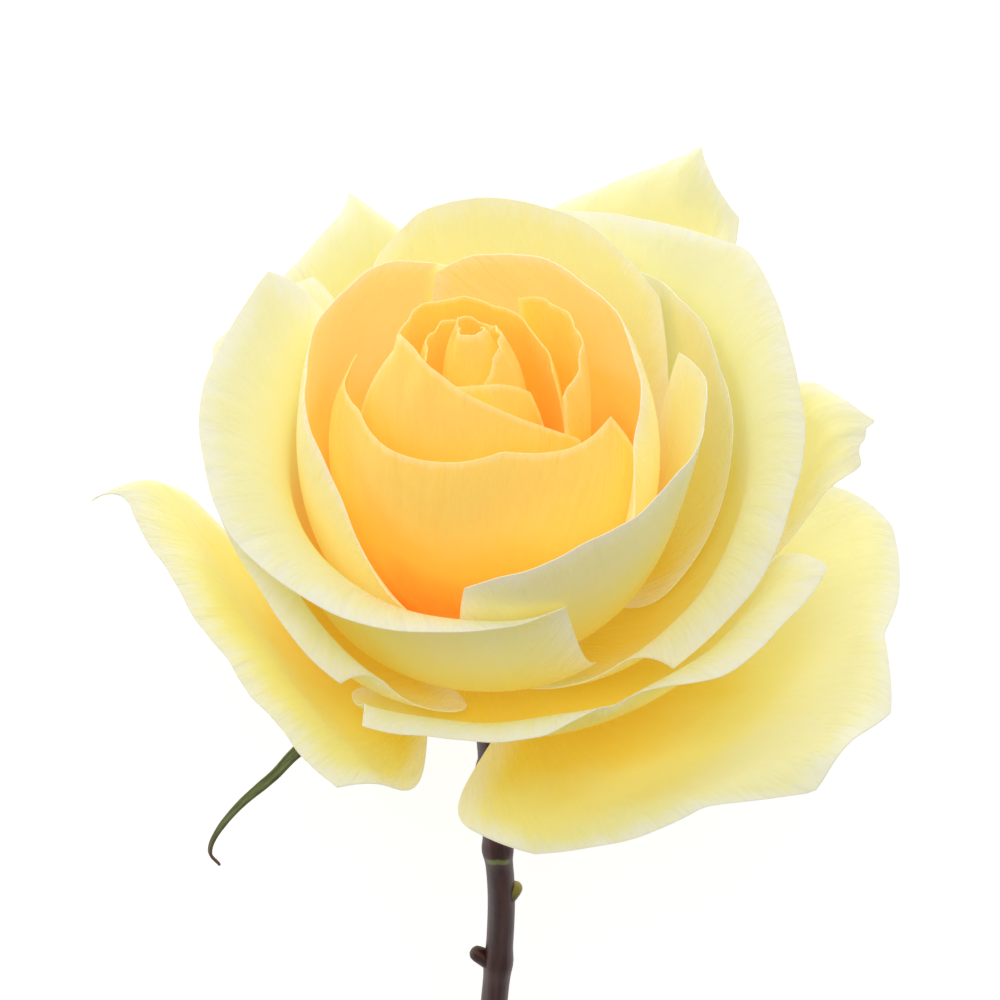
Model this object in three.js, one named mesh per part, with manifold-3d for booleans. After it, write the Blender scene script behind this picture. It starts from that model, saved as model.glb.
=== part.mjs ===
// A cut yellow rose lying on a flat surface, in millimetres with +Z up.
// The bloom is built upright about its own axis first: every petal is a flat leaf-shaped
// sheet, its edges rolled back, then bent round the bloom. The whole flower is laid down last.
import * as THREE from 'three';
import { mergeVertices } from 'three/addons/utils/BufferGeometryUtils.js';
import Module from 'manifold-3d';

const manifoldModule = await Module();
manifoldModule.setup();
const { Manifold, Mesh: ManifoldMesh } = manifoldModule;

// Driving sizes
const bloomWidth = 105;
const bloomHeight = 49;
const petalThickness = 0.5;
const sepalThickness = 0.8;
const sepalWidth = 6;
const stemDiameter = 3.8;
const stemLength = 135;
const headDiameter = 13.6;
const stubDiameter = 2.8;
const sepalGap = 0.4;
const seatGap = 0.15;
const headPeak = 3;
const headSlope = 0.62;

// The petal tables are drawn for a bloom 105 wide and 49 high, and stretched from there
const acrossScale = bloomWidth / 105;
const upScale = bloomHeight / 49;
const budLean = 3;
const rollLimit = 1.9;
const clawShare = 0.45;

const toRadians = THREE.MathUtils.degToRad;
const clamp = THREE.MathUtils.clamp;
const smoothStep = (value) => THREE.MathUtils.smoothstep(value, 0, 1);

// One row per petal, from the bud outwards.
// turn: direction it faces, in degrees round the bloom, counted from the right
// arc: half of the angle it wraps, or wide: half widths of its two sides
// seat: where it sits on the head, as a share of the head's radius
// path: three more control points (radius, height) of its middle line
// round, power, skew: how its tip edge falls off towards the sides
// points: where the tip edge is drawn out or nicked (across, share of the length, half width)
// rolls: fold lines of the rolled edges (direction, reach from the seat, radius)
// margin: how far the outline runs past its fold lines
// fold: a broad rolled edge (reach, radius and width of the roll), each at left, middle, right
// pulls: places where the edge stands out (across, distance, half width)
const petalTable = [
  {
    name: 'bud_petal_1', turn: 262, arc: 150, seat: 0.103,
    path: [[6, 20], [6, 40], [1.4, 49.4]], round: 0.03, twist: 0.5, full: 0.4,
    points: [[-0.55, 0.035, 0.25]], grid: [8, 10],
  },
  {
    name: 'bud_petal_2', turn: 0, arc: 75, seat: 0.191,
    path: [[7.6, 20], [7.6, 40], [4, 47.8]], round: 0.08, full: 0.4,
    grid: [8, 10],
  },
  {
    name: 'bud_petal_3', turn: 130, arc: 85, seat: 0.25,
    path: [[9, 20], [9.2, 38], [5, 46.8]], round: 0.06, full: 0.4,
    grid: [8, 10],
  },
  {
    name: 'bud_petal_4', turn: 275, arc: 70, seat: 0.279,
    path: [[10.4, 19], [10.4, 37], [5.9, 45]], round: 0.1, full: 0.4,
    grid: [8, 10],
  },
  {
    name: 'inner_petal_1', turn: 88, arc: 93, seat: 0.353,
    path: [[12.2, 19], [12, 36], [8.8, 46.4]], round: 0.04, skew: 0.06, full: 0.4,
    grid: [8, 10],
  },
  {
    name: 'inner_petal_2', turn: 16, arc: 58, wrap: 0.85, seat: 0.382,
    path: [[14.2, 17], [14.6, 34], [14, 45.8]], round: 0.04, full: 0.4,
    grid: [8, 10],
  },
  {
    name: 'inner_petal_3', turn: 261, arc: 68, wrap: 1.14, seat: 0.397,
    path: [[16.4, 15], [17.2, 35], [8.6, 47.2]], round: 0.095, skew: -0.13, full: 0.4,
    grid: [8, 10],
  },
  {
    name: 'inner_petal_4', turn: 250, arc: 96, seat: 0.5,
    path: [[20, 10], [23.5, 28], [16.6, 41]], round: 0.02, twist: 1.2, full: 0.4,
    points: [[-0.5, 0.02, 0.3], [0.35, 0.05, 0.5]], grid: [8, 10],
  },
  {
    name: 'ball_petal_1', turn: 30, arc: 78, seat: 0.5,
    path: [[22, 7], [25.5, 28], [20, 44.4]], round: 0.16, power: 3, skew: 0.08, full: 0.42,
    rolls: [[-60, 44, 5]], grid: [10, 11],
  },
  {
    name: 'ball_petal_2', turn: 168, arc: 80, seat: 0.485,
    path: [[25, 5], [26, 26], [20.8, 42.6]], round: 0.22, power: 3, skew: -0.14, twist: -0.9, full: 0.42,
    rolls: [[60, 43, 4]], grid: [10, 11],
  },
  {
    name: 'middle_petal_1', turn: 325, arc: 63, seat: 0.574,
    path: [[23, 4.5], [23.8, 20], [28.8, 38]], round: 0.12, skew: 0.05, twist: 0.4, full: 0.45,
    grid: [10, 11],
  },
  {
    name: 'middle_petal_2', turn: 93, wide: [29, 16], seat: 0.544,
    path: [[29, 4.3], [28, 27], [32, 43]], round: 0.16, skew: -0.03, twist: -0.8, full: 0.5, bell: 1.8,
    grid: [10, 11],
  },
  {
    name: 'middle_petal_3', turn: 216, wide: [33, 35.5], seat: 0.588,
    path: [[31, 1.8], [24.3, 20], [24.3, 38]], full: 0.55, bell: 2,
    fold: [[46, 34.5, 34], [8, 7.5, 5], [13, 14.5, 4]], grid: [10, 11],
  },
  {
    name: 'middle_petal_4', turn: 42, wide: [21, 21], seat: 0.632,
    path: [[30, 1.4], [32.25, 20], [32.7, 37]], round: 0.2, full: 0.5, bell: 1.9,
    grid: [10, 11],
  },
  {
    name: 'outer_petal_1', turn: 174, wide: [25, 34], seat: 0.691,
    path: [[34, -2], [29, 18], [29, 34]], twist: -0.6, full: 0.55, bell: 2,
    points: [[-0.35, 0.04, 0.3]], fold: [[43, 43, 28], [7, 6, 5], [10, 9, 8]], grid: [10, 11],
  },
  {
    name: 'outer_petal_2', turn: 14, wide: [34, 42], wrap: 0.86, seat: 0.735,
    path: [[36, -2], [33.5, 22], [35.5, 38]], twist: 1.5, full: 0.55, bell: 2,
    points: [[0.42, 0.04, 0.3]],
    fold: [[28.5, 46, 50], [5, 6, 6], [8, 10, 8]],
    pulls: [[0.42, 4, 0.6]],
    grid: [10, 11],
  },
  {
    name: 'outer_petal_3', turn: 297, wide: [33, 34], wrap: 1.1, seat: 0.809,
    path: [[34, -5], [35, 17], [36, 32]], twist: 2.5, full: 0.6, bell: 2,
    points: [[0.02, -0.14, 0.35]], fold: [[30, 33, 34], [5, 5, 5], [7, 7.5, 9]], grid: [10, 11],
  },
  {
    name: 'guard_petal_1', turn: 115, wide: [22, 20], wrap: 1.5, seat: 0.765,
    path: [[36, -4], [42, 16], [46, 39]], round: 0.1, full: 0.6, bell: 1.8,
    margin: 2, rolls: [[-48, 42, 5], [30, 48, 5]], grid: [10, 11],
  },
  {
    name: 'guard_petal_2', turn: 66, wide: [15, 16], wrap: 1.5, seat: 1.015,
    path: [[38, -11.5], [49, 15], [55, 47]], round: 0.03, full: 0.6, bell: 2.3,
    margin: 2, rolls: [[-41, 56.8, 5], [34, 54.8, 5]], grid: [10, 11],
  },
  {
    name: 'guard_petal_3', turn: 17, wide: [7, 12], wrap: 2, seat: 0.868,
    path: [[40, -8.8], [40, 15], [52, 27]], round: 0.16, full: 0.6, bell: 2.4,
    margin: 2, rolls: [[20, 51, 4], [-32, 45, 4]], grid: [10, 11],
  },
  {
    name: 'guard_petal_4', turn: 210, wide: [30, 24], wrap: 5, seat: 0.926,
    path: [[29, -8], [36, 14], [43, 33]], round: 0.03, twist: 2, full: 0.72, bell: 1.9,
    margin: 2, rolls: [[17, 34.5, 5], [-60, 45, 4]], grid: [10, 11],
  },
  {
    name: 'guard_petal_5', turn: 321, wide: [30, 50], wrap: 3.5, seat: 1,
    path: [[28, -9.4], [43, 6], [57, 12.5]], round: 0, full: 0.72, bell: 1.9,
    points: [[-0.5, -0.07, 0.5], [0.5, -0.07, 0.5]],
    margin: 2,
    rolls: [[-51, 38, 5], [28, 51.5, 5]],
    grid: [10, 11],
  },
];

// The five sepals: direction and the path (distance from the head's side, height) each follows
const sepalTable = [
  { turn: 208, path: [[0, -4], [8, -8.5], [20, -13], [30, -19], [34.5, -25.5], [33.5, -29]] },
  { turn: 280, path: [[0, -4], [7, -10], [16, -11], [25, -10]] },
  { turn: 352, path: [[0, -4], [7, -10], [16, -11], [25, -10]] },
  { turn: 64, path: [[0, -4], [7, -10], [16, -11.5], [24, -12]] },
  { turn: 136, path: [[0, -4], [7, -10], [16, -11.5], [24, -12]] },
];

// The middle line of a petal in its upright plane, from its seat on the head to the tip
function middleLine({ seat, path }, across = acrossScale, up = upScale) {
  const seatRadius = (seat * headDiameter) / 2;
  const seatHeight = headPeak - headSlope * seatRadius + seatGap + petalThickness / 2;
  const points = path.map(([radius, height]) => (
    new THREE.Vector2(radius * across, height * up)));
  return new THREE.CubicBezierCurve(new THREE.Vector2(seatRadius, seatHeight), ...points);
}

// A value that runs from the first through the second to the third as u goes from -1 to 1
function threeWay([left, middle, right], u) {
  return middle + ((right - left) / 2) * u + ((right + left) / 2 - middle) * u * u;
}

// Radius, height and direction of the middle line a given length from the seat
function alongLine(line, length, distance) {
  const inside = clamp(distance, 0, length);
  const share = line.getUtoTmapping(0, inside);
  const point = line.getPoint(share);
  const heading = line.getTangent(share);
  point.addScaledVector(heading, distance - inside);
  return { point, heading };
}

// The middle surface of a petal at u across (-1 to 1) and v along (0 to 1)
function petalPoint(petal, line, u, v) {
  const length = line.getLength();
  const stretch = length / petal.drawnLength;
  let reach = 1 - (petal.round ?? 0) * Math.abs(u) ** (petal.power ?? 2.6) + (petal.skew ?? 0) * u;
  if (petal.fold) {
    const [starts, , widths] = petal.fold;
    reach *= (threeWay(starts, u) + threeWay(widths, u)) / petal.drawnLength;
  }
  const wrap = petal.wrap ?? 1;
  const sides = (petal.wide ?? [0, 0]).map((side) => side * acrossScale);
  if (petal.margin) {
    const fullWidth = THREE.MathUtils.lerp(sides[0], sides[1], smoothStep(u * 2 + 0.5));
    petal.rolls.filter(([direction]) => Math.abs(direction) <= 55).forEach(([direction, foldReach]) => {
      const sine = Math.sin(toRadians(direction));
      const scale = THREE.MathUtils.lerp(stretch, acrossScale, sine * sine);
      const trimmed = ((foldReach + petal.margin) * scale - fullWidth * u * sine)
        / Math.cos(toRadians(direction));
      reach = Math.min(reach, trimmed / length);
    });
  }
  for (const [place, height, width] of petal.points ?? []) {
    reach += height * Math.max(1 - Math.abs(u - place) / width, 0) ** 1.6;
  }
  let along = length * v * reach;
  const nearRadius = Math.max(alongLine(line, length, along).point.x, 1);
  const halfWidth = petal.arc
    ? toRadians(petal.arc) * wrap * nearRadius
    : THREE.MathUtils.lerp(sides[0], sides[1], smoothStep(u * 2 + 0.5));
  const claw = Math.max((clawShare * petal.seat * headDiameter) / 2, 0.5) / halfWidth;
  const widening = Math.sin((Math.PI / 2) * Math.min(v / petal.full, 1)) ** (petal.bell ?? 1.3);
  const narrowing = 1 - 0.06 * clamp((v - 0.62) / 0.38, 0, 1) ** 2;
  const share = (claw + (1 - claw) * widening) * narrowing;
  let across = halfWidth * share * u;

  // Rolled edges: past each fold line the sheet bends back round a cylinder
  let back = 0;
  for (const [direction, foldReach, drawnRadius] of petal.rolls ?? []) {
    const sine = Math.sin(toRadians(direction));
    const cosine = Math.cos(toRadians(direction));
    const scale = THREE.MathUtils.lerp(stretch, acrossScale, sine * sine);
    const radius = drawnRadius * scale;
    const past = Math.max(across * sine + along * cosine - foldReach * scale + radius, 0);
    const angle = Math.min(past / radius, rollLimit);
    const straight = past - radius * angle;
    const move = radius * Math.sin(angle) + straight * Math.cos(angle) - past;
    across += sine * move;
    along += cosine * move;
    back += radius * (1 - Math.cos(angle)) + straight * Math.sin(angle);
  }
  if (petal.fold) {
    const radius = threeWay(petal.fold[1], u) * stretch;
    const past = Math.max(along - threeWay(petal.fold[0], u) * stretch, 0);
    const angle = Math.min(past / radius, rollLimit);
    const straight = past - radius * angle;
    along += radius * Math.sin(angle) + straight * Math.cos(angle) - past;
    back += radius * (1 - Math.cos(angle)) + straight * Math.sin(angle);
  }
  for (const [place, amount, width] of petal.pulls ?? []) {
    back += amount * Math.max(1 - Math.abs(u - place) / width, 0) ** 2 * smoothStep(v * 2 - 1);
  }

  // Bend the sheet round the bloom
  const { point, heading } = alongLine(line, length, along);
  const wrapRadius = wrap * Math.max(point.x, 1);
  const angle = across / wrapRadius;
  const outward = back * heading.y + (petal.twist ?? 0) * u * share;
  const radial = point.x - wrapRadius * (1 - Math.cos(angle)) + outward * Math.cos(angle);
  const sideways = (wrapRadius + outward) * Math.sin(angle);
  const height = point.y - back * heading.x;
  const turn = toRadians(petal.turn);
  return new THREE.Vector3(
    radial * Math.cos(turn) - sideways * Math.sin(turn) - budLean * (Math.max(height, 0) / 50) ** 2,
    radial * Math.sin(turn) + sideways * Math.cos(turn),
    height,
  );
}

// A closed sheet of the given thickness about a grid of middle points
function thickSheet(rows, thickness) {
  const rowCount = rows.length;
  const columnCount = rows[0].length;
  const front = [];
  const rear = [];
  rows.forEach((row, j) => row.forEach((point, i) => {
    const acrossStep = new THREE.Vector3().subVectors(
      row[Math.min(i + 1, columnCount - 1)], row[Math.max(i - 1, 0)]);
    const alongStep = new THREE.Vector3().subVectors(
      rows[Math.min(j + 1, rowCount - 1)][i], rows[Math.max(j - 1, 0)][i]);
    const normal = acrossStep.cross(alongStep).normalize();
    front.push(point.clone().addScaledVector(normal, thickness / 2));
    rear.push(point.clone().addScaledVector(normal, -thickness / 2));
  }));
  const count = rowCount * columnCount;
  const at = (j, i) => j * columnCount + i;
  const faces = [];
  for (let j = 0; j < rowCount - 1; j += 1) {
    for (let i = 0; i < columnCount - 1; i += 1) {
      const corners = [at(j, i), at(j, i + 1), at(j + 1, i + 1), at(j + 1, i)];
      const [a, b, c, d] = corners;
      faces.push(a, b, c, a, c, d);
      faces.push(a + count, c + count, b + count, a + count, d + count, c + count);
    }
  }
  const border = [];
  for (let i = 0; i < columnCount; i += 1) border.push(at(0, i));
  for (let j = 1; j < rowCount; j += 1) border.push(at(j, columnCount - 1));
  for (let i = columnCount - 2; i >= 0; i -= 1) border.push(at(rowCount - 1, i));
  for (let j = rowCount - 2; j > 0; j -= 1) border.push(at(j, 0));
  border.forEach((from, k) => {
    const to = border[(k + 1) % border.length];
    faces.push(from, from + count, to + count, from, to + count, to);
  });
  const geometry = new THREE.BufferGeometry();
  const positions = [...front, ...rear].flatMap((point) => point.toArray());
  geometry.setAttribute('position', new THREE.Float32BufferAttribute(positions, 3));
  geometry.setIndex(faces);
  return geometry;
}

function makePetal(petal) {
  const line = middleLine(petal);
  const drawn = { ...petal, drawnLength: middleLine(petal, 1, 1).getLength() };
  const [columns, rows] = petal.grid;
  const grid = [];
  for (let j = 0; j <= rows; j += 1) {
    const v = 1 - (1 - j / rows) ** 1.35;
    const row = [];
    for (let i = 0; i <= columns; i += 1) {
      const side = (2 * i) / columns - 1;
      const u = Math.sign(side) * (1 - (1 - Math.abs(side)) ** 1.25);
      row.push(petalPoint(drawn, line, u, v));
    }
    grid.push(row);
  }
  return thickSheet(grid, petalThickness);
}

// A sepal is a narrow strap that tapers to a point, along a curve that leaves the head
function makeSepal({ turn, path }) {
  const root = headDiameter / 2 + sepalGap;
  const points = path.map(([distance, height]) => new THREE.Vector2(root + distance, height));
  const line = new THREE.SplineCurve(points);
  const rows = 10;
  const heading = toRadians(turn);
  const grid = [];
  for (let j = 0; j <= rows; j += 1) {
    const share = j / rows;
    const point = line.getPointAt(share);
    const halfWidth = (sepalWidth / 2) * (1 - 0.88 * share ** 0.8);
    const row = [-1, -0.5, 0, 0.5, 1].map((side) => {
      const radial = point.x;
      const sideways = halfWidth * side;
      const height = point.y + 0.25 * halfWidth * side * side;
      return new THREE.Vector3(
        radial * Math.cos(heading) - sideways * Math.sin(heading),
        radial * Math.sin(heading) + sideways * Math.cos(heading),
        height,
      );
    });
    grid.push(row);
  }
  return thickSheet(grid, sepalThickness);
}

// Solids that are grown as one piece are joined into one closed mesh
function toSolid(geometry) {
  const bare = geometry.index ? geometry.toNonIndexed() : geometry.clone();
  bare.deleteAttribute('normal');
  bare.deleteAttribute('uv');
  const merged = mergeVertices(bare, 1e-4);
  return new Manifold(new ManifoldMesh({
    numProp: 3,
    vertProperties: new Float32Array(merged.attributes.position.array),
    triVerts: new Uint32Array(merged.index.array),
  }));
}

function join(geometries) {
  const whole = geometries.map(toSolid).reduce((joined, next) => joined.add(next));
  const mesh = whole.getMesh();
  const geometry = new THREE.BufferGeometry();
  geometry.setAttribute('position', new THREE.Float32BufferAttribute(mesh.vertProperties, 3));
  geometry.setIndex(Array.from(mesh.triVerts));
  return geometry;
}

// A body turned about its own axis, stood at a place on the stem
function turned(profile, place, slant = 0) {
  const points = profile.map(([radius, height]) => new THREE.Vector2(radius, height));
  const geometry = new THREE.LatheGeometry(points, 16);
  geometry.rotateX(Math.PI / 2);
  geometry.rotateY(slant);
  geometry.translate(...place);
  return geometry;
}

function makeStem() {
  const radius = stemDiameter / 2;
  const headRadius = headDiameter / 2;
  const bottom = -(stemLength);
  const bends = [
    [0, 0, -11], [0.1, 0, -24], [0.4, 0, -33], [0.9, 0, -45], [1.5, 0, -57],
    [1.1, 0, -70], [0.2, 0, -86], [-0.2, 0, -104], [0, 0, bottom],
  ];
  const curve = new THREE.CatmullRomCurve3(bends.map((bend) => new THREE.Vector3(...bend)));
  const section = new THREE.Shape();
  section.absellipse(0, 0, radius, radius, 0, 2 * Math.PI, true);
  const shaft = new THREE.ExtrudeGeometry(section, {
    steps: 30, extrudePath: curve, curveSegments: 6, bevelEnabled: false,
  });
  const shoulder = headPeak - headSlope * headRadius;
  const crown = headPeak - headSlope * headRadius * 0.1;
  const head = turned([
    [0, -27], [radius * 0.97, -27], [radius * 1.12, -18], [radius * 1.35, -13], [headRadius * 0.82, -9],
    [headRadius, -5], [headRadius, shoulder], [headRadius * 0.1, crown], [0, crown],
  ], [0, 0, 0]);
  const collar = (height, shift, swell) => turned([
    [0, -3.2], [radius * 0.9, -3.2], [radius * swell, -0.8], [radius * swell, 0.8],
    [radius * 0.9, 3.2], [0, 3.2],
  ], [shift, 0, height]);
  const stub = (place, slant, long) => turned([
    [0, 0], [stubDiameter / 2, 0], [stubDiameter * 0.42, long * 0.7],
    [stubDiameter * 0.3, long], [0, long],
  ], place, slant);
  return join([
    shaft,
    head,
    collar(-31, 0.3, 1.28),
    collar(-47, 1.05, 1.16),
    collar(-96, -0.1, 1.16),
    stub([1.4, 0, -58.5], toRadians(32), 4.6),
    stub([0.6, 0, -71.5], toRadians(-50), 4.2),
  ]);
}

const petalColour = (share) => new THREE.Color().lerpColors(
  new THREE.Color(0.95, 0.5, 0.08), new THREE.Color(0.9, 0.83, 0.5), share);

function addMesh(group, name, geometry, color, roughness) {
  geometry.computeVertexNormals();
  const material = new THREE.MeshStandardMaterial({ color, roughness, metalness: 0 });
  const mesh = new THREE.Mesh(geometry, material);
  mesh.name = name;
  group.add(mesh);
  return mesh;
}

const flower = new THREE.Group();
petalTable.forEach((petal, index) => {
  const share = index / (petalTable.length - 1);
  addMesh(flower, petal.name, makePetal(petal), petalColour(share), 0.6);
});
sepalTable.forEach((sepal, index) => {
  addMesh(flower, `sepal_${index + 1}`, makeSepal(sepal), new THREE.Color(0.2, 0.24, 0.07), 0.6);
});
addMesh(flower, 'stem', makeStem(), new THREE.Color(0.1, 0.035, 0.025), 0.45);

// The lowest corner of a piece once turned, among its corners below a height in the upright bloom
function lowestPoint(name, turn, ceiling = Infinity) {
  const lowest = new THREE.Vector3(0, 0, Infinity);
  const point = new THREE.Vector3();
  const { position } = flower.getObjectByName(name).geometry.attributes;
  for (let k = 0; k < position.count; k += 1) {
    if (position.getZ(k) > ceiling) continue;
    point.fromBufferAttribute(position, k).applyQuaternion(turn);
    if (point.z < lowest.z) lowest.copy(point);
  }
  return lowest;
}

// The flower lies on the tips of two back petals and on the cut end of its stem
const up = new THREE.Vector3(0, 0, 1);
const lying = new THREE.Quaternion().setFromRotationMatrix(new THREE.Matrix4().makeBasis(
  new THREE.Vector3(-1, 0, 0), new THREE.Vector3(0, 0, -1), new THREE.Vector3(0, -1, 0)));
for (let round = 0; round < 8; round += 1) {
  const left = lowestPoint('guard_petal_1', lying);
  const right = lowestPoint('guard_petal_2', lying);
  const end = lowestPoint('stem', lying, 1 - stemLength);
  const facing = right.sub(left).cross(end.sub(left)).normalize();
  if (facing.z < 0) facing.negate();
  lying.premultiply(new THREE.Quaternion().setFromUnitVectors(facing, up));
}
const settle = new THREE.Matrix4().makeRotationFromQuaternion(lying);
flower.children.forEach((mesh) => mesh.geometry.applyMatrix4(settle));
const box = new THREE.Box3().setFromObject(flower);
const middle = box.getCenter(new THREE.Vector3());
flower.children.forEach((mesh) => mesh.geometry.translate(-middle.x, -middle.y, -box.min.z));

export default flower;
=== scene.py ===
import math

import bpy
import numpy as np
from mathutils import Matrix


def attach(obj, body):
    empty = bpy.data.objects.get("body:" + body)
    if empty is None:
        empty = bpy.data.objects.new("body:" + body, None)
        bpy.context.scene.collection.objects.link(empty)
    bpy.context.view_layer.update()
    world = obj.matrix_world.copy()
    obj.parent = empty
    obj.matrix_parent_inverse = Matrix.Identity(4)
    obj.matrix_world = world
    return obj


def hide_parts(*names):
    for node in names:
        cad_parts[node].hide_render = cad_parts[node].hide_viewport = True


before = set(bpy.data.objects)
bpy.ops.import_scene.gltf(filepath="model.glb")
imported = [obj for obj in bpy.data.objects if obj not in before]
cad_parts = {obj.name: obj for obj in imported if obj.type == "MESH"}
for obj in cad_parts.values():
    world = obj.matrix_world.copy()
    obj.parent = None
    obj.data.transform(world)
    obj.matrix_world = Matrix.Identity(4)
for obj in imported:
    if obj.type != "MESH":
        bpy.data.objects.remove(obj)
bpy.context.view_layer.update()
print("part loaded")


# A signal on its way through a material. Arithmetic on it adds Math nodes.
class Signal:
    def __init__(self, tree, socket=None):
        self.tree = tree
        self.socket = socket

    def node(self, kind, settings=None, inputs=None, output=0):
        made = self.tree.nodes.new(kind)
        for name, value in (settings or {}).items():
            setattr(made, name, value)
        for name, value in (inputs or {}).items():
            if isinstance(value, Signal):
                self.tree.links.new(value.socket, made.inputs[name])
            else:
                made.inputs[name].default_value = value
        return Signal(self.tree, made.outputs[output])

    def maths(self, operation, first, second=0.0):
        return self.node("ShaderNodeMath", {"operation": operation}, {0: first, 1: second})

    def __add__(self, other):
        return self.maths("ADD", self, other)

    def __radd__(self, other):
        return self.maths("ADD", other, self)

    def __sub__(self, other):
        return self.maths("SUBTRACT", self, other)

    def __rsub__(self, other):
        return self.maths("SUBTRACT", other, self)

    def __mul__(self, other):
        return self.maths("MULTIPLY", self, other)

    def __rmul__(self, other):
        return self.maths("MULTIPLY", other, self)

    def __abs__(self):
        return self.maths("ABSOLUTE", self)

    # 0 below low, 1 above high, eased between them
    def fade(self, low, high):
        return self.node("ShaderNodeMapRange", {"interpolation_type": "SMOOTHSTEP"},
                         {"Value": self, "From Min": low, "From Max": high})

    # a mix of two colours by this signal
    def blend(self, first, second):
        return self.node("ShaderNodeMix", {"data_type": "RGBA"},
                         {0: self, 6: first, 7: second}, output=2)

    # a number that the mesh carries at its points
    def number(self, key):
        return self.node("ShaderNodeAttribute", {"attribute_name": key}, output=2)

    # soft noise over a position, 0 to 1
    def noise(self, x, y, z, detail=2.0, scale=1.0):
        place = self.node("ShaderNodeCombineXYZ", None, {0: x, 1: y, 2: z})
        return self.node("ShaderNodeTexNoise", None,
                         {"Vector": place, "Scale": scale, "Detail": detail})


# an empty material: its Principled shader and a signal to start from
def newMaterial(name, colour, roughness):
    material = bpy.data.materials.new(name)
    material.use_nodes = True
    shader = material.node_tree.nodes["Principled BSDF"]
    shader.inputs["Base Color"].default_value = (*colour, 1)
    shader.inputs["Roughness"].default_value = roughness
    material.diffuse_color = (*colour, 1)
    return material, shader, Signal(material.node_tree)


# links signals to the shader's sockets
def plug(material, shader, signals):
    for socket, value in signals.items():
        material.node_tree.links.new(value.socket, shader.inputs[socket])


# 0 below 0, 1 above 1, eased between them
def smooth(x):
    x = np.clip(x, 0, 1)
    return x * x * (3 - 2 * x)


# turns points about the upright axis, in place
def turnAbout(points, degrees):
    c, s = math.cos(math.radians(degrees)), math.sin(math.radians(degrees))
    x, y = points[..., 0].copy(), points[..., 1].copy()
    points[..., 0] = c * x - s * y
    points[..., 1] = s * x + c * y
    return points


# A closed sheet from a grid of middle points: each point moves half the local thickness to either
# side along the surface's normal, and a strip that bulges by a share of it closes the border.
def sheetSolid(grid, thickness, bulgeShare=0.35):
    across = np.gradient(grid, axis=1)
    along = np.gradient(grid, axis=0)
    normal = np.cross(across, along)
    normal /= np.linalg.norm(normal, axis=-1, keepdims=True) + 1e-12
    rows, columns = grid.shape[:2]
    half = (thickness / 2)[..., None]
    front, rear = grid + normal * half, grid - normal * half
    at = np.arange(rows * columns).reshape(rows, columns)
    a, b, c, d = at[:-1, :-1], at[:-1, 1:], at[1:, 1:], at[1:, :-1]
    count = rows * columns
    faces = [np.stack([a, b, c, d], -1).reshape(-1, 4),
             np.stack([a, d, c, b], -1).reshape(-1, 4) + count]
    loop = np.concatenate([at[0, :-1], at[:-1, -1], at[-1, :0:-1], at[:0:-1, 0]])
    nextOne = np.roll(loop, -1)
    flat = grid.reshape(-1, 3)
    outwards = flat[loop] - flat[insideOf(at, loop, columns)]
    outwards /= np.linalg.norm(outwards, axis=-1, keepdims=True) + 1e-12
    bulge = flat[loop] + outwards * (thickness.reshape(-1)[loop] * bulgeShare)[:, None]
    ring = 2 * count + np.arange(len(loop))
    nextRing = np.roll(ring, -1)
    faces.append(np.stack([loop, ring, nextRing, nextOne], -1))
    faces.append(np.stack([ring, loop + count, nextOne + count, nextRing], -1))
    points = np.concatenate([front.reshape(-1, 3), rear.reshape(-1, 3), bulge])
    source = np.concatenate([np.arange(count), np.arange(count), loop])
    return points, np.concatenate(faces), source


# for each border corner, the corner one step further in
def insideOf(at, loop, columns):
    row, column = loop // columns, loop % columns
    row = np.clip(row, 1, at.shape[0] - 2)
    column = np.clip(column, 1, at.shape[1] - 2)
    return at[row, column]


# puts points (mm) and faces into a mesh object on the part's root body
def addPiece(name, points, faces, nodes, material):
    mesh = bpy.data.meshes.new(name)
    mesh.from_pydata((points * 0.001).tolist(), [], faces.tolist())
    mesh.polygons.foreach_set("use_smooth", np.ones(len(mesh.polygons), bool))
    mesh.materials.append(material)
    mesh.update()
    piece = bpy.data.objects.new(name, mesh)
    bpy.context.scene.collection.objects.link(piece)
    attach(piece, "root")
    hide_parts(*nodes)
    return piece


# gives each point of a piece a number that its material reads
def addNumbers(piece, name, values):
    attribute = piece.data.attributes.new(name, "FLOAT", "POINT")
    attribute.data.foreach_set("value", values.astype(np.float32))


# a map in centimetres over the flat sheet, taken from its points
def addMap(piece, across, along):
    layer = piece.data.uv_layers.new(name="sheetMap")
    corner = np.empty(len(piece.data.loops), np.int32)
    piece.data.loops.foreach_get("vertex_index", corner)
    pairs = np.stack([across[corner], along[corner]], -1) * 0.1
    layer.data.foreach_set("uv", pairs.astype(np.float32).ravel())


bloom = {
    "grid": (72, 84),           # quads across and along each petal
    "crowding": (1.25, 1.35),   # how much closer the grid's lines get to the side and tip edges
    "headPeak": 3.4,            # where petals sit on the stem's head: height at the axis
    "headSlope": 0.62,          # and how much lower per mm outwards
    "clawShare": 0.45,          # half width of a petal's foot, as a share of its seat's radius
    "clawLeast": 0.5,
    "rollLimit": 1.9,           # how far an edge rolls back, in radians, before it runs straight
    "trimLimit": 55,            # fold lines turned more than this leave the outline alone
    "tipStart": 0.62,           # from here on a petal narrows again
    "tipNarrowing": 0.06,
    "tipPower": 2.6,            # how square a rounded tip is, and how full a petal's sides are
    "bell": 1.3,
    "pointPower": 1.6,          # how sharply a drawn-out place comes to its point
    "rimThickness": 0.16,
    "bodyThickness": 0.46,
    "rimWidth": 6,              # how far in from its edge a petal reaches its full thickness
    "lean": 3.0,                # how far the bud leans to its left, at leanHeight up
    "leanHeight": 50,
    "waves": [(0.22, 4.3, 0.7), (0.04, 11.0, 0.85)],   # tip edge: size, count, start
    "wavePhase": 0.7,
    "seedStep": 3.7,            # keeps each petal's veins its own
}

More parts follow.
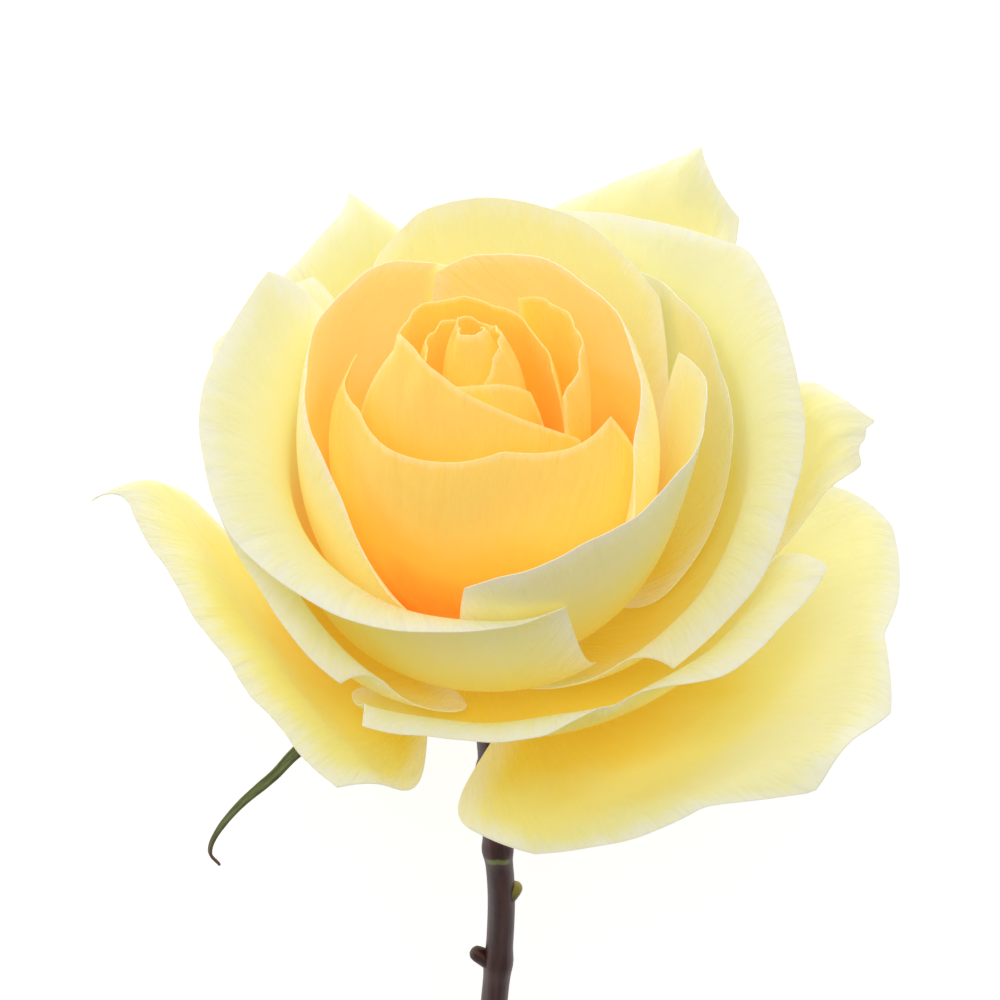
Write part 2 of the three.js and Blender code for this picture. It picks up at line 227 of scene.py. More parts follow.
# One row per petal, from the bud outwards, lengths in mm and angles in degrees.
# turn: direction it faces. arc: half of the angle it wraps, or wide: half widths of its two sides.
# seat: radius at which it sits on the head. path: the further control points (radius, height) of
# its middle line. round, power, skew: its tip edge.
# points: where the tip edge is drawn out or nicked. rolls: fold lines (direction, reach, radius)
# of rolled edges. margin: how far the outline runs past them. fold: a broad rolled edge (reach,
# radius and width of the roll), each at left, middle and right. pulls: where the edge stands out.
petals = {
    "bud_petal_1": dict(
        turn=262, arc=150, seat=0.7, path=[[6, 20], [6, 40], [1.4, 49.4]], round=0.03, twist=0.5,
        full=0.4, points=[[-0.55, 0.035, 0.25]]),
    "bud_petal_2": dict(
        turn=0, arc=75, seat=1.3, path=[[7.6, 20], [7.6, 40], [4, 47.8]], round=0.08, full=0.4),
    "bud_petal_3": dict(
        turn=130, arc=85, seat=1.7, path=[[9, 20], [9.2, 38], [5, 46.8]], round=0.06, full=0.4),
    "bud_petal_4": dict(
        turn=275, arc=70, seat=1.9, path=[[10.4, 19], [10.4, 37], [5.9, 45]], round=0.1, full=0.4),
    "inner_petal_1": dict(
        turn=88, arc=93, seat=2.4, path=[[12.2, 19], [12, 36], [8.8, 46.4]], round=0.04, skew=0.06,
        full=0.4),
    "inner_petal_2": dict(
        turn=16, arc=58, wrap=0.85, seat=2.6, path=[[14.2, 17], [14.6, 34], [14, 45.8]], round=0.04,
        full=0.4),
    "inner_petal_3": dict(
        turn=261, arc=68, wrap=1.14, seat=2.7, path=[[16.4, 15], [17.2, 35], [8.6, 47.2]],
        round=0.095, skew=-0.13, full=0.4),
    "inner_petal_4": dict(
        turn=250, arc=96, seat=3.4, path=[[20, 10], [23.5, 28], [16.6, 41]], round=0.02, twist=1.2,
        full=0.4, points=[[-0.5, 0.02, 0.3], [0.35, 0.05, 0.5]]),
    "ball_petal_1": dict(
        turn=30, arc=78, seat=3.4, path=[[22, 7], [25.5, 28], [20, 44.4]], round=0.16, power=3,
        skew=0.08, full=0.42, rolls=[[-60, 44, 5]]),
    "ball_petal_2": dict(
        turn=168, arc=80, seat=3.3, path=[[25, 5], [26, 26], [20.8, 42.6]], round=0.22, power=3,
        skew=-0.14, twist=-0.9, full=0.42, rolls=[[60, 43, 4]]),
    "middle_petal_1": dict(
        turn=325, arc=63, seat=3.9, path=[[23, 4.5], [23.8, 20], [28.8, 38]], round=0.12, skew=0.05,
        twist=0.4, full=0.45),
    "middle_petal_2": dict(
        turn=93, wide=[29, 16], seat=3.7, path=[[29, 4.3], [28, 27], [32, 43]], round=0.16,
        skew=-0.03, twist=-0.8, full=0.5, bell=1.8),
    "middle_petal_3": dict(
        turn=216, wide=[33, 35.5], seat=4, path=[[31, 1.8], [24.3, 20], [24.3, 38]], full=0.55,
        bell=2, fold=[[46, 34.5, 34], [8, 7.5, 5], [13, 14.5, 4]]),
    "middle_petal_4": dict(
        turn=42, wide=[21, 21], seat=4.3, path=[[30, 1.4], [32.25, 20], [32.7, 37]], round=0.2,
        full=0.5, bell=1.9),
    "outer_petal_1": dict(
        turn=174, wide=[25, 34], seat=4.7, path=[[34, -2], [29, 18], [29, 34]], twist=-0.6,
        full=0.55, bell=2, points=[[-0.35, 0.04, 0.3]], fold=[[43, 43, 28], [7, 6, 5], [10, 9, 8]]),
    "outer_petal_2": dict(
        turn=14, wide=[34, 42], wrap=0.86, seat=5, path=[[36, -2], [33.5, 22], [35.5, 38]],
        twist=1.5, full=0.55, bell=2, points=[[0.42, 0.04, 0.3]],
        fold=[[28.5, 46, 50], [5, 6, 6], [8, 10, 8]], pulls=[[0.42, 4, 0.6]]),
    "outer_petal_3": dict(
        turn=297, wide=[33, 34], wrap=1.1, seat=5.5, path=[[34, -5], [35, 17], [36, 32]], twist=2.5,
        full=0.6, bell=2, points=[[0.02, -0.14, 0.35]], fold=[[30, 33, 34], [5, 5, 5], [7, 7.5, 9]]),
    "guard_petal_1": dict(
        turn=115, wide=[22, 20], wrap=1.5, seat=5.2, path=[[36, -4], [42, 16], [46, 39]], round=0.1,
        full=0.6, bell=1.8, margin=2, rolls=[[-48, 42, 5], [30, 48, 5]]),
    "guard_petal_2": dict(
        turn=66, wide=[15, 16], wrap=1.5, seat=6.9, path=[[38, -11.5], [49, 15], [55, 47]],
        round=0.03, full=0.6, bell=2.3, margin=2, rolls=[[-41, 56.8, 5], [34, 54.8, 5]]),
    "guard_petal_3": dict(
        turn=17, wide=[7, 12], wrap=2, seat=5.9, path=[[40, -8.8], [40, 15], [52, 27]], round=0.16,
        full=0.6, bell=2.4, margin=2, rolls=[[20, 51, 4], [-32, 45, 4]]),
    "guard_petal_4": dict(
        turn=210, wide=[30, 24], wrap=5, seat=6.3, path=[[29, -8], [36, 14], [43, 33]], round=0.03,
        twist=2, full=0.72, bell=1.9, margin=2, rolls=[[17, 34.5, 5], [-60, 45, 4]]),
    "guard_petal_5": dict(
        turn=321, wide=[30, 50], wrap=3.5, seat=6.8, path=[[28, -9.4], [43, 6], [57, 12.5]],
        round=0, full=0.72, bell=1.9, points=[[-0.5, -0.07, 0.5], [0.5, -0.07, 0.5]], margin=2,
        rolls=[[-51, 38, 5], [28, 51.5, 5]]),
}


# A petal's foot, to a hundredth of a mm: the head falls evenly from its peak outwards, and half
# the foot's width is a share of the seat's radius, down to a least width.
def footOf(seat):
    height = bloom["headPeak"] - bloom["headSlope"] * seat
    half = max(bloom["clawShare"] * seat, bloom["clawLeast"])
    return round(height, 2), round(half, 2)


# The middle line of a petal: 200 even steps of its cubic curve, as radius, height and direction
def middleLine(foot, path):
    t = np.linspace(0, 1, 200)[:, None]
    corners = np.array([foot] + path, float)
    line = ((1 - t) ** 3 * corners[0] + 3 * (1 - t) ** 2 * t * corners[1]
            + 3 * (1 - t) * t ** 2 * corners[2] + t ** 3 * corners[3])
    step = np.diff(line, axis=0)
    length = np.concatenate([[0], np.cumsum(np.linalg.norm(step, axis=1))])
    heading = np.gradient(line, axis=0)
    heading /= np.linalg.norm(heading, axis=1, keepdims=True)
    return line, heading, length


# A petal is a flat leaf shape (across, along), its edges rolled back round fold lines, then bent:
# along follows the middle line, across wraps round the bloom's axis at that radius.
def petalGrid(row):
    columns, rows = bloom["grid"]
    side = np.linspace(-1, 1, columns + 1)
    u = np.sign(side) * (1 - (1 - np.abs(side)) ** bloom["crowding"][0])
    v = 1 - (1 - np.linspace(0, 1, rows + 1)) ** bloom["crowding"][1]
    u, v = np.meshgrid(u, v)
    footHeight, footHalf = footOf(row["seat"])
    line, heading, lengths = middleLine([row["seat"], footHeight], row["path"])
    total = lengths[-1]
    at = lambda place, values: np.interp(np.clip(place, 0, total), lengths, values)
    threeWay = lambda three: (three[1] + (three[2] - three[0]) / 2 * u
                              + ((three[2] + three[0]) / 2 - three[1]) * u * u)
    power = row.get("power", bloom["tipPower"])
    reach = 1 - row.get("round", 0) * np.abs(u) ** power + row.get("skew", 0) * u
    if "fold" in row:
        foldStart, foldRadius, foldWidth = [threeWay(three) for three in row["fold"]]
        reach *= (foldStart + foldWidth) / total
    wide = row.get("wide", [0, 0])
    full = wide[0] + (wide[1] - wide[0]) * smooth(u * 2 + 0.5)
    if "margin" in row:
        for direction, foldReach, radius in row["rolls"]:
            if abs(direction) <= bloom["trimLimit"]:
                sine, cosine = math.sin(math.radians(direction)), math.cos(math.radians(direction))
                trimmed = (foldReach + row["margin"] - full * u * sine) / cosine / total
                reach = np.minimum(reach, trimmed)
    for place, height, width in row.get("points", []):
        reach += height * np.clip(1 - np.abs(u - place) / width, 0, 1) ** bloom["pointPower"]
    along = total * v * reach
    wrap = row.get("wrap", 1)
    if "arc" in row:
        full = math.radians(row["arc"]) * wrap * np.maximum(at(along, line[:, 0]), 1)
    claw = footHalf / full
    share = np.sin(np.pi / 2 * np.clip(v / row["full"], 0, 1)) ** row.get("bell", bloom["bell"])
    tip = np.clip((v - bloom["tipStart"]) / (1 - bloom["tipStart"]), 0, 1)
    share = (claw + (1 - claw) * share) * (1 - bloom["tipNarrowing"] * tip ** 2)
    across = full * share * u
    flat = (across.copy(), along.copy())
    rim = np.minimum(total * reach * (1 - v), full * share * (1 - np.abs(u)))
    back = np.zeros_like(across)
    for direction, foldReach, radius in row.get("rolls", []):
        sine, cosine = math.sin(math.radians(direction)), math.cos(math.radians(direction))
        past = np.maximum(across * sine + along * cosine - foldReach + radius, 0)
        angle = np.minimum(past / radius, bloom["rollLimit"])
        straight = past - radius * angle
        move = radius * np.sin(angle) + straight * np.cos(angle) - past
        across = across + sine * move
        along = along + cosine * move
        back = back + radius * (1 - np.cos(angle)) + straight * np.sin(angle)
    if "fold" in row:
        past = np.maximum(along - foldStart, 0)
        angle = np.minimum(past / foldRadius, bloom["rollLimit"])
        straight = past - foldRadius * angle
        along = along + foldRadius * np.sin(angle) + straight * np.cos(angle) - past
        back = back + foldRadius * (1 - np.cos(angle)) + straight * np.sin(angle)
    for place, amount, width in row.get("pulls", []):
        back = back + amount * np.clip(1 - np.abs(u - place) / width, 0, 1) ** 2 * smooth(v * 2 - 1)
    for size, count, start in bloom["waves"]:
        phase = row["turn"] * count * bloom["wavePhase"]
        back = back + size * np.sin(np.pi * count * u + phase) * smooth((v - start) / (1 - start))
    past = along - np.clip(along, 0, total)
    headR, headZ = at(along, heading[:, 0]), at(along, heading[:, 1])
    radius = at(along, line[:, 0]) + headR * past
    height = at(along, line[:, 1]) + headZ * past
    wrapRadius = wrap * np.maximum(radius, 1)
    angle = across / wrapRadius
    outward = back * headZ + row.get("twist", 0) * u * share
    points = np.stack([radius - wrapRadius * (1 - np.cos(angle)) + outward * np.cos(angle),
                       (wrapRadius + outward) * np.sin(angle), height - back * headR], -1)
    turnAbout(points, row["turn"])
    points[..., 0] -= bloom["lean"] * (np.maximum(points[..., 2], 0) / bloom["leanHeight"]) ** 2
    return points, flat, rim


# A smooth line through points, evenly sampled between them (Catmull-Rom)
def lineThrough(points, each=12):
    p = np.array(points, float)
    p = np.concatenate([[2 * p[0] - p[1]], p, [2 * p[-1] - p[-2]]])
    t = np.linspace(0, 1, each, endpoint=False)[None, :, None]
    a, b, c, d = p[:-3, None], p[1:-2, None], p[2:-1, None], p[3:, None]
    curve = 0.5 * (2 * b + (c - a) * t + (2 * a - 5 * b + 4 * c - d) * t ** 2
                   + (3 * b - a - 3 * c + d) * t ** 3)
    return np.concatenate([curve.reshape(-1, p.shape[1]), p[-2:-1]])


stem = {
    "bends": [[0, 2.6], [0, -4], [0, -11], [0.1, -24], [0.4, -33], [0.9, -45], [1.5, -57],
              [1.1, -70], [0.2, -86], [-0.2, -104], [0, -135]],    # sideways, height
    "radius": 1.92,
    "head": [[-27, 1.0], [-18, 1.13], [-13, 1.35], [-9, 2.9], [-5, 3.56], [-1.5, 3.54],
             [-0.9, 3.3], [2.4, 0.5], [2.6, 0.1]],   # height, radius as a share of the stem's
    "collars": [[-31, 0.26, 1.5], [-47, 0.16, 1.7], [-71, 0.12, 2.2], [-96, 0.15, 1.7]],
    "stubs": [[1.4, -58.5, 32, 4.6, 1.4], [0.6, -71.5, -50, 4.2, 1.4]],   # x, z, slant, length, r
    "stubShape": [[0, 1.1], [0.15, 1.05], [0.35, 0.98], [0.55, 0.92], [0.75, 0.86], [0.9, 0.74],
                  [0.98, 0.5], [1.0, 0.2]],   # shares of the stub's length and radius
    "sides": 48,
    "stubSides": 20,
    "steps": 26,                # rings between two bends
    "wobble": 0.012,            # unevenness of the radius, as a share of it
    "stubWobble": 0.02,
    "topShare": 0.1,            # radius of the very top, under the bud
    "endShare": 0.93,           # the cut end: how much narrower it closes, how far below
    "endDrop": 0.02,
    "restLength": 2,            # the part of the cut end that the flower can rest on
}


# A closed tube: rings of the given radii stand square to the line, and both ends close in a point.
# wobble makes the radii uneven by two waves, of three and five bumps a turn, that drift along it.
def tubeSolid(line, radii, sides, wobble=0.0):
    heading = np.gradient(line, axis=0)
    heading /= np.linalg.norm(heading, axis=1, keepdims=True)
    sideways = np.cross(heading, [0.0, 1.0, 0.0])
    sideways /= np.linalg.norm(sideways, axis=1, keepdims=True)
    upright = np.cross(sideways, heading)
    angle = np.arange(sides) / sides * 2 * np.pi
    length = np.concatenate([[0], np.cumsum(np.linalg.norm(np.diff(line, axis=0), axis=1))])
    uneven = 1 + wobble * (np.sin(3 * angle[None, :] + length[:, None] * 0.21)
                           + 0.6 * np.sin(5 * angle[None, :] - length[:, None] * 0.34 + 1))
    ring = (np.cos(angle)[None, :, None] * sideways[:, None]
            + np.sin(angle)[None, :, None] * upright[:, None])
    rings = line[:, None] + ring * (radii[:, None] * uneven)[..., None]
    rows = len(line)
    at = np.arange(rows * sides).reshape(rows, sides)
    beside = np.roll(at, -1, axis=1)
    quads = np.stack([at[:-1], at[1:], beside[1:], beside[:-1]], -1).reshape(-1, 4).tolist()
    first, last = rows * sides, rows * sides + 1
    caps = [[first, a, b] for a, b in zip(at[0], beside[0])]
    caps += [[last, b, a] for a, b in zip(at[-1], beside[-1])]
    points = np.concatenate([rings.reshape(-1, 3), line[:1], line[-1:]])
    around = np.concatenate([np.tile(angle, rows), [0, 0]])
    return points, quads + caps, around


# The stem's radius times the head's profile, plus a bell-shaped swell at each collar, with its
# side stubs as parts 1 and 2
def stemSolid():
    line = lineThrough([[x, 0, z] for x, z in stem["bends"]], stem["steps"])
    height = line[:, 2]
    head = np.array(stem["head"])
    radii = stem["radius"] * np.interp(height, head[:, 0], head[:, 1], left=1.0)
    for place, swell, spread in stem["collars"]:
        radii = radii + stem["radius"] * swell * np.exp(-((height - place) / spread) ** 2)
    bottom = np.array([[line[-1, 0], 0, line[-1, 2]]])
    line = np.concatenate([line, bottom])
    line[-1, 2] -= stem["endDrop"]
    radii = np.concatenate([radii, radii[-1:] * stem["endShare"]])
    radii[0] = stem["radius"] * stem["topShare"]
    parts = [tubeSolid(line, radii, stem["sides"], stem["wobble"])]
    share, width = np.array(stem["stubShape"]).T
    for x, z, slant, length, radius in stem["stubs"]:
        sine, cosine = math.sin(math.radians(slant)), math.cos(math.radians(slant))
        centre = np.array([x, 0, z]) + share[:, None] * length * np.array([sine, 0, cosine])
        parts.append(tubeSolid(centre, radius * width, stem["stubSides"], stem["stubWobble"]))
    points, faces, around, part = [], [], [], []
    start = 0
    for index, (piecePoints, pieceFaces, pieceAround) in enumerate(parts):
        points.append(piecePoints)
        faces += [[corner + start for corner in face] for face in pieceFaces]
        around.append(pieceAround)
        part.append(np.full(len(piecePoints), float(index)))
        start += len(piecePoints)
    return np.concatenate(points), faces, np.concatenate(around), np.concatenate(part)


sepals = {
    "root": 7.2,                # where a sepal leaves the head, from the axis
    "width": 3.6,
    "thickness": 0.7,
    "thinning": 0.45,           # how much thinner its tip is, as a share
    "narrowing": 0.9,           # how much narrower its tip is, and how early it narrows
    "narrowingPower": 0.75,
    "barb": 0.35,               # barbs on its edges: height, spacing, how short each is
    "barbSpacing": 40,
    "barbGap": 0.6,
    "barbPower": 6,
    "cup": 0.28,                # rise of its edges, as a share of half its width
    "columns": 12,
    "paths": {                  # direction, then distance from the root and height
        "sepal_1": (208, [[-1.2, -3.6], [8, -8.5], [20, -12.4], [25, -16], [30, -19],
                          [33.5, -22.6], [34.6, -25.8], [33.4, -28.8]]),
        "sepal_2": (280, [[-1.2, -3.6], [7, -10], [16, -11], [25, -10]]),
        "sepal_3": (352, [[-1.2, -3.6], [7, -10], [16, -11], [25, -10]]),
        "sepal_4": (64, [[-1.2, -3.6], [7, -10], [16, -11.5], [24, -12]]),
        "sepal_5": (136, [[-1.2, -3.6], [7, -10], [16, -11.5], [24, -12]]),
    },
}


# A sepal is a strap that narrows to a thread, slightly cupped, with small barbs on its edges
def sepalGrid(turn, path):
    line = lineThrough(path, 90 // len(path) + 4)
    length = np.concatenate([[0], np.cumsum(np.linalg.norm(np.diff(line, axis=0), axis=1))])
    share = (length / length[-1])[:, None]
    side = np.linspace(-1, 1, sepals["columns"] + 1)[None, :]
    half = sepals["width"] / 2 * (1 - sepals["narrowing"] * share ** sepals["narrowingPower"])
    bumps = np.maximum(np.sin(share * sepals["barbSpacing"]) - sepals["barbGap"], 0)
    barb = sepals["barb"] * bumps * np.abs(side) ** sepals["barbPower"] * (1 - share)
    sideways = (half + barb) * side
    radial = sepals["root"] + line[:, :1] + 0 * side
    height = line[:, 1:2] + sepals["cup"] * half * side ** 2
    grid = turnAbout(np.stack([radial, sideways, height], -1), turn)
    return grid, share + 0 * side, side + 0 * share


solids = {}
pieceFacts = {}
for name, row in petals.items():
    grid, flat, rim = petalGrid(row)
    body = bloom["bodyThickness"]
    inwards = smooth(rim / bloom["rimWidth"])
    thickness = bloom["rimThickness"] + (body - bloom["rimThickness"]) * inwards
    points, faces, source = sheetSolid(grid, thickness)
    solids[name] = (points, faces)
    pieceFacts[name] = {
        "across": flat[0].ravel()[source], "along": flat[1].ravel()[source],
        "rim": rim.ravel()[source],
    }
print("petals shaped:", len(solids))

for name, (turn, path) in sepals["paths"].items():
    grid, share, side = sepalGrid(turn, path)
    points, faces, source = sheetSolid(grid, sepals["thickness"] * (1 - sepals["thinning"] * share))
    solids[name] = (points, faces)
    pieceFacts[name] = {"share": share.ravel()[source], "side": side.ravel()[source]}
stemPoints, stemFaces, stemAround, stemPart = stemSolid()
stemHeight = stemPoints[:, 2].copy()
solids["stem"] = (stemPoints, np.array(stemFaces, dtype=object))
print("stem and sepals shaped")


# The flower rests on the tips of two back petals and on the cut end of its stem: it is turned
# until the plane through those three lowest points is level.
def lyingTurn():
    turn = np.array([[-1.0, 0, 0], [0, 0, -1.0], [0, -1.0, 0]])
    end = stemPoints[stemHeight < stem["bends"][-1][1] + stem["restLength"]]
    for _ in range(8):
        three = []
        for points in (solids["guard_petal_1"][0], solids["guard_petal_2"][0], end):
            turned = points @ turn.T
            three.append(turned[turned[:, 2].argmin()])
        left, right, low = three
        facing = np.cross(right - left, low - left)
        facing /= np.linalg.norm(facing)
        facing *= np.sign(facing[2])
        axis = np.cross(facing, [0, 0, 1.0])
        sine = np.linalg.norm(axis)
        if sine < 1e-9:
            break
        spin = Matrix.Rotation(math.atan2(sine, facing[2]), 3, (axis / sine).tolist())
        turn = np.array(spin) @ turn
    return turn


turn = lyingTurn()
allPoints = np.concatenate([points for points, _ in solids.values()]) @ turn.T
low, high = allPoints.min(0), allPoints.max(0)
shift = np.array([-(low[0] + high[0]) / 2, -(low[1] + high[1]) / 2, -low[2]])


# paintedGlow: how strongly each look glows in its own colour, painted light for light shining
# through the petals
petalLooks = {
    "heart_petals": {"tip": (1.0, 0.66, 0.14), "body": (1.0, 0.54, 0.06),
                     "base": (1.0, 0.33, 0.02), "rim": (1.0, 0.78, 0.32), "rimWidth": 1.2,
                     "paintedGlow": 0.26},
    "ball_petals": {"tip": (0.96, 0.86, 0.40), "body": (0.97, 0.74, 0.17),
                     "base": (1.0, 0.46, 0.03), "rim": (1.0, 0.92, 0.62), "rimWidth": 3.0,
                     "paintedGlow": 0.2},
    "outer_petals": {"tip": (0.90, 0.86, 0.48), "body": (0.92, 0.82, 0.27),
                     "base": (0.94, 0.71, 0.08), "rim": (0.92, 0.90, 0.72), "rimWidth": 4.0,
                     "paintedGlow": 0.13},
}


# Colour runs from the base to the tip with a pale edge; veins fan out from the claw. The petal also
# glows in its own colour: painted light standing in for light shining through the thin petals.
def petalMaterial(name, look):
    material, shader, signal = newMaterial(name, look["body"], 0.55)
    chart = signal.node("ShaderNodeUVMap", {"uv_map": "sheetMap"})
    across = signal.node("ShaderNodeSeparateXYZ", None, {0: chart}, output=0)
    along = signal.node("ShaderNodeSeparateXYZ", None, {0: chart}, output=1)
    rim = signal.number("rim")
    seed = signal.number("seed")
    fan = signal.maths("ARCTAN2", across, along + 0.8)
    reach = signal.maths("SQRT", across * across + along * along)
    veins = signal.noise(fan * 42, reach * 0.9, seed, 3.0)
    fine = signal.noise(fan * 120, reach * 5.0, seed + 3, 2.0)
    patches = signal.noise(across * 0.9, along * 0.9, seed + 7, 2.0)
    toTip = (reach + (patches - 0.5) * 1.4).fade(1.6, 4.9)
    lowHalf = (toTip * 2).fade(0, 1).blend((*look["base"], 1), (*look["body"], 1))
    upHalf = (toTip * 2 - 1).fade(0, 1)
    colour = upHalf.blend(lowHalf, (*look["tip"], 1))
    edge = 1 - (rim + (veins - 0.5) * look["rimWidth"] * 0.6).fade(0, look["rimWidth"])
    colour = (edge * 0.8).blend(colour, (*look["rim"], 1))
    lines = (veins * 0.6 + fine * 0.4).fade(0.35, 0.75)
    colour = (lines * 0.22).blend(colour, (*look["body"], 1))
    creases = signal.noise(fan * 26, reach * 1.6, seed + 11, 4.0)
    nearEdge = 1 - rim.fade(1, 13)
    relief = (veins * 0.4 + fine * 0.2 + creases * 0.9) * (0.2 + 0.8 * nearEdge)
    bump = signal.node("ShaderNodeBump", None,
                       {"Strength": 0.6, "Distance": 0.0009, "Height": relief})
    # the emission is painted light: the petal glows in its own colour as if lit through from behind
    plug(material, shader, {"Base Color": colour, "Emission Color": colour, "Normal": bump})
    shader.inputs["Emission Strength"].default_value = look["paintedGlow"]
    shader.inputs["Subsurface Weight"].default_value = 0.25
    shader.inputs["Subsurface Radius"].default_value = (1.0, 0.75, 0.3)
    shader.inputs["Subsurface Scale"].default_value = 0.0016
    shader.inputs["Sheen Weight"].default_value = 0.1
    shader.inputs["Specular IOR Level"].default_value = 0.35
    return material


petalMaterials = {key: petalMaterial(key, look) for key, look in petalLooks.items()}


# the bud and inner petals share a look, the ball has its own, and the rest are outer petals
def slotOf(name):
    ring = name.split("_")[0]
    return {"bud": "heart_petals", "inner": "heart_petals", "ball": "ball_petals"}.get(
        ring, "outer_petals")


for index, name in enumerate(petals):
    points, faces = solids[name]
    facts = pieceFacts[name]
    key = slotOf(name)
    piece = addPiece(name + "_fine", points @ turn.T + shift, faces, [name],
                     petalMaterials[key])
    addMap(piece, facts["across"], facts["along"])
    addNumbers(piece, "rim", facts["rim"])
    addNumbers(piece, "seed", np.full(len(points), index * bloom["seedStep"]))
print("petals placed")


# Dark bark with paler streaks, a red band, a green V-shaped scar, a painted highlight as a pale grey
# band curving round the front, and a yellow-green tip on part 1, the upper stub. The front is an
# angle in radians, and marks lie so many mm below the bloom.
def stemMaterial():
    # ring: the colour of the painted highlight band below the upper collar
    bark = {"dark": (0.042, 0.013, 0.012), "light": (0.115, 0.042, 0.034),
            "red": (0.14, 0.030, 0.020), "scar": (0.22, 0.26, 0.05), "tip": (0.35, 0.30, 0.05),
            "ring": (0.30, 0.22, 0.20), "front": 4.71, "redBelow": 42, "scarBelow": 47.4,
            "highlightBelow": 32, "tipBelow": 58}
    material, shader, signal = newMaterial("stem", bark["dark"], 0.42)
    up, around, part = signal.number("up"), signal.number("around"), signal.number("part")
    streaks = signal.noise(around * 2.2, up * 0.06, 1.0, 4.0)
    mottle = signal.noise(around * 1.2, up * 0.5, 5.0, 3.0)
    colour = streaks.fade(0.35, 0.75).blend((*bark["dark"], 1), (*bark["light"], 1))
    band = 1 - abs(up + bark["redBelow"]).fade(1.5, 5.5)
    colour = (band * 0.7 * mottle.fade(0.3, 0.7)).blend(colour, (*bark["red"], 1))
    front = 1 - abs(around - bark["front"]).fade(0.5, 1.1)
    vee = 1 - abs(up + bark["scarBelow"] + abs(around - bark["front"]) * 0.9).fade(0.25, 0.8)
    colour = (vee * front).blend(colour, (*bark["scar"], 1))
    # painted highlight: a pale grey band that curves round the front just below the upper collar,
    # where light catches the swelling
    dip = 0.9 * (around - bark["front"]) * (around - bark["front"])
    ring = 1 - abs(up + bark["highlightBelow"] - dip).fade(0.1, 0.45)
    colour = (ring * 0.55).blend(colour, (*bark["ring"], 1))
    tips = part.fade(0.5, 1.0) * (1 - part.fade(1.2, 1.6))
    colour = (tips * (up + bark["tipBelow"]).fade(1.0, 3.2)).blend(colour, (*bark["tip"], 1))
    relief = streaks * 0.6 + mottle * 0.4
    bump = signal.node("ShaderNodeBump", None,
                       {"Strength": 0.3, "Distance": 0.0005, "Height": relief})
    rough = 0.36 + streaks * 0.2
    plug(material, shader, {"Base Color": colour, "Normal": bump, "Roughness": rough})
    return material


# mottled green that turns brown at the tip
def sepalMaterial():
    material, shader, signal = newMaterial("sepals", (0.12, 0.15, 0.04), 0.6)
    share, side = signal.number("share"), signal.number("side")
    mottle = signal.noise(share * 18, side * 1.5, 2.0, 3.0)
    colour = mottle.fade(0.3, 0.7).blend((0.075, 0.10, 0.025, 1), (0.17, 0.21, 0.06, 1))
    colour = share.fade(0.82, 0.98).blend(colour, (0.16, 0.07, 0.035, 1))
    bump = signal.node("ShaderNodeBump", None,
                       {"Strength": 0.3, "Distance": 0.0004, "Height": mottle})
    plug(material, shader, {"Base Color": colour, "Normal": bump})
    return material


sepalLook = sepalMaterial()
for name in sepals["paths"]:
    points, faces = solids[name]
    piece = addPiece(name + "_fine", points @ turn.T + shift, faces, [name], sepalLook)
    addNumbers(piece, "share", pieceFacts[name]["share"])
    addNumbers(piece, "side", pieceFacts[name]["side"])
piece = addPiece("stem_fine", stemPoints @ turn.T + shift, solids["stem"][1], ["stem"],
                 stemMaterial())
addNumbers(piece, "up", stemHeight)
addNumbers(piece, "around", stemAround)
addNumbers(piece, "part", stemPart)
print("stem and sepals placed")


stage = {
    "floorSize": 6.0,
    "floorColour": (0.95, 0.95, 0.95),
    "floorGlow": 0.62,
    "skyStrength": 0.34,
    "keyPower": 2.3,
    "keySize": 0.55,
    "keyDistance": 0.9,
    "fillPower": 0.7,
    "fillSize": 0.8,
    "fillDistance": 1.0,
    "aimHeight": 20.0,          # how far up the bloom the lights point, in mm
}

bpy.ops.mesh.primitive_plane_add(size=stage["floorSize"], location=(0, 0, -0.0001))
floor = bpy.context.active_object
floor.name = "floor"
floorMaterial, floorShader, _ = newMaterial("floor", stage["floorColour"], 0.9)
floorShader.inputs["Specular IOR Level"].default_value = 0.0
floorShader.inputs["Emission Color"].default_value = (1, 1, 1, 1)
floorShader.inputs["Emission Strength"].default_value = stage["floorGlow"]
floor.data.materials.append(floorMaterial)

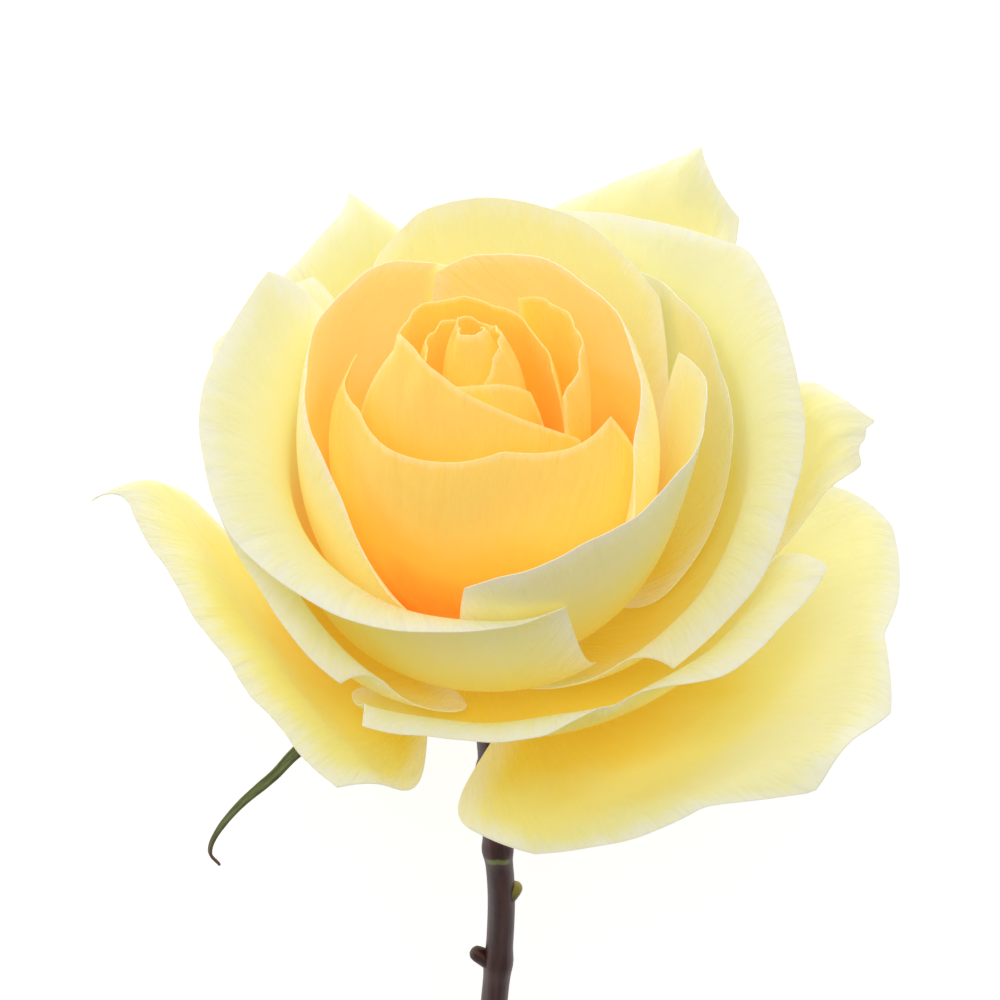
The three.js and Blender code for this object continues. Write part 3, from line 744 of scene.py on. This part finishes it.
# The camera looks down into the bloom from this many degrees above its rim. distance, the field's
# width and the aim's offset to the right and up are in mm.
shot = {"above": 46.0, "distance": 600.0, "field": 131.0, "right": 1.31, "up": 14.28, "sensor": 36}
above = math.radians(shot["above"])
toCamera = turn @ np.array([0, -math.sin(above), math.cos(above)])
cameraUp = turn @ np.array([0, math.cos(above), math.sin(above)])
cameraRight = turn @ np.array([1.0, 0, 0])
aim = shift + cameraRight * shot["right"] + cameraUp * shot["up"]
place = (aim + toCamera * shot["distance"]) * 0.001
cameraData = bpy.data.cameras.new("camera")
cameraData.sensor_width = shot["sensor"]
cameraData.lens = shot["sensor"] * shot["distance"] / shot["field"]
cameraData.clip_start, cameraData.clip_end = 0.01, 20
camera = bpy.data.objects.new("camera", cameraData)
bpy.context.scene.collection.objects.link(camera)
rows = [[cameraRight[i], cameraUp[i], toCamera[i], place[i]] for i in range(3)]
camera.matrix_world = Matrix(rows + [[0, 0, 0, 1]])
bpy.context.scene.camera = camera

world = bpy.data.worlds.new("studio")
world.use_nodes = True
bpy.context.scene.world = world
sky = world.node_tree.nodes["Background"]
sky.inputs[0].default_value = (1, 1, 1, 1)
sky.inputs[1].default_value = stage["skyStrength"]


# a square soft light that faces the bloom from a direction
def addLight(name, direction, distance, power, size):
    data = bpy.data.lights.new(name, "AREA")
    data.energy, data.size = power, size
    light = bpy.data.objects.new(name, data)
    bpy.context.scene.collection.objects.link(light)
    away = np.array(direction) / np.linalg.norm(direction)
    centre = (shift + turn @ np.array([0, 0, stage["aimHeight"]])) * 0.001
    z = away
    x = np.cross([0, 0, 1.0], z)
    x /= np.linalg.norm(x)
    y = np.cross(z, x)
    spot = centre + away * distance
    light.matrix_world = Matrix([[x[i], y[i], z[i], spot[i]] for i in range(3)] + [[0, 0, 0, 1]])
    return light


addLight("key", cameraUp * 0.75 + toCamera - cameraRight * 0.25 + [0, 0, 0.5],
         stage["keyDistance"], stage["keyPower"], stage["keySize"])
addLight("fill", toCamera + cameraRight * 0.8 + [0, 0, 0.2], stage["fillDistance"],
         stage["fillPower"], stage["fillSize"])

bpy.context.scene.view_settings.view_transform = "Standard"
bpy.context.scene.view_settings.look = "None"
print("scene lit")
